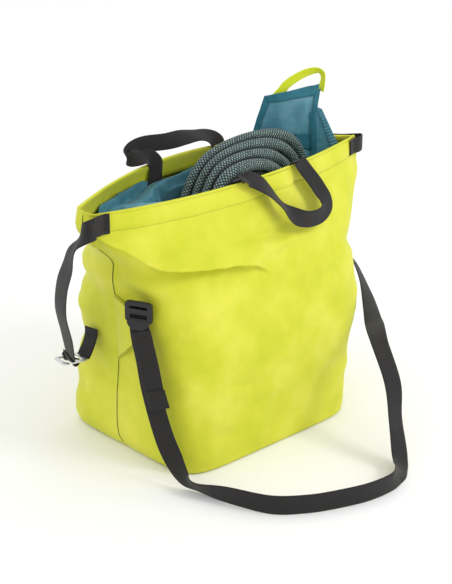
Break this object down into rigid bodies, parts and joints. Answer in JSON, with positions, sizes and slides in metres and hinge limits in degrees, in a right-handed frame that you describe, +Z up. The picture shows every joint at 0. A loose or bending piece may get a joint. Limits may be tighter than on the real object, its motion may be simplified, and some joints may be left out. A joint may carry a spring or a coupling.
{
  "type": "rope storage bag",
  "caption": "Soft open-topped rope bag with a boxed base, carry handles, a shoulder strap, a closure strap with a hook, a coiled rope and the tarp it lies on.",
  "frame": {"origin": "centre of the base, on the floor", "axes": "+X to the right along the front panel, +Y from the front panel to the back panel, +Z up"},
  "size_m": [0.4521, 0.4174, 0.4341],
  "materials": {
    "shell_fabric": "matte",
    "webbing": "matte",
    "black_plastic": "matte",
    "hook_metal": "satin",
    "rope_sheath": "matte",
    "tarp_fabric": "satin",
    "pull_webbing": "matte"
  },
  "bodies": {
    "bag": {"front_panel": "shell_fabric", "back_panel": "shell_fabric", "base_panel": "shell_fabric", "front_hem": "shell_fabric", "back_hem": "shell_fabric", "left_seam_tape": "webbing", "right_seam_tape": "webbing", "left_wing": "shell_fabric", "right_wing": "shell_fabric", "front_handle_ends": "webbing", "back_handle_ends": "webbing", "closure_patch": "webbing", "gusset_keeper": "webbing", "hem_end_loop": "webbing"},
    "front_handle": {"front_handle": "webbing"},
    "back_handle": {"back_handle": "webbing"},
    "shoulder_strap": {"shoulder_strap": "webbing", "strap_tail": "webbing", "ladder_lock": "black_plastic", "lock_loop": "webbing"},
    "closure_strap": {"closure_strap": "webbing"},
    "closure_hook": {"closure_hook": "hook_metal"},
    "rope": {"rope_coil": "rope_sheath"},
    "tarp": {"tarp": "tarp_fabric"},
    "tarp_corner": {"tarp_corner": "tarp_fabric"},
    "pull_loop": {"pull_loop": "pull_webbing"}
  },
  "joints": [
    {"name": "front_handle_swing", "type": "hinge", "parent": "bag", "child": "front_handle", "pos_m": [0.024, -0.0865, 0.3505], "axis": [-1, 0, 0], "range_deg": [0, 150]},
    {"name": "back_handle_swing", "type": "hinge", "parent": "bag", "child": "back_handle", "pos_m": [0.006, 0.0405, 0.3515], "axis": [-1, 0, 0], "range_deg": [0, 110]},
    {"name": "shoulder_strap_swing", "type": "hinge", "parent": "bag", "child": "shoulder_strap", "pos_m": [0, -0.049, 0.208], "axis": [-1, 0, 0], "range_deg": [0, 50]},
    {"name": "closure_strap_swing", "type": "hinge", "parent": "bag", "child": "closure_strap", "pos_m": [-0.236, -0.064, 0.334], "axis": [1, 0, 0], "range_deg": [0, 60]},
    {"name": "closure_hook_turn", "type": "hinge", "parent": "closure_strap", "child": "closure_hook", "pos_m": [-0.188, 0.0545, 0.1175], "axis": [-0.28, -0.96, 0], "range_deg": [0, 40]},
    {"name": "rope_lift", "type": "slide", "parent": "bag", "child": "rope", "axis": [0, 0, 1], "range_m": [0, 0.4]},
    {"name": "tarp_lift", "type": "slide", "parent": "bag", "child": "tarp", "axis": [0, 0, 1], "range_m": [0, 0.4]},
    {"name": "tarp_corner_fold", "type": "hinge", "parent": "tarp", "child": "tarp_corner", "pos_m": [0.134, -0.005, 0.3505], "axis": [-0.8806, 0.4738, 0], "range_deg": [0, 80]},
    {"name": "pull_loop_swing", "type": "hinge", "parent": "tarp_corner", "child": "pull_loop", "pos_m": [0.137, -0.0045, 0.389], "axis": [-0.8806, 0.4738, 0], "range_deg": [0, 80]}
  ]
}
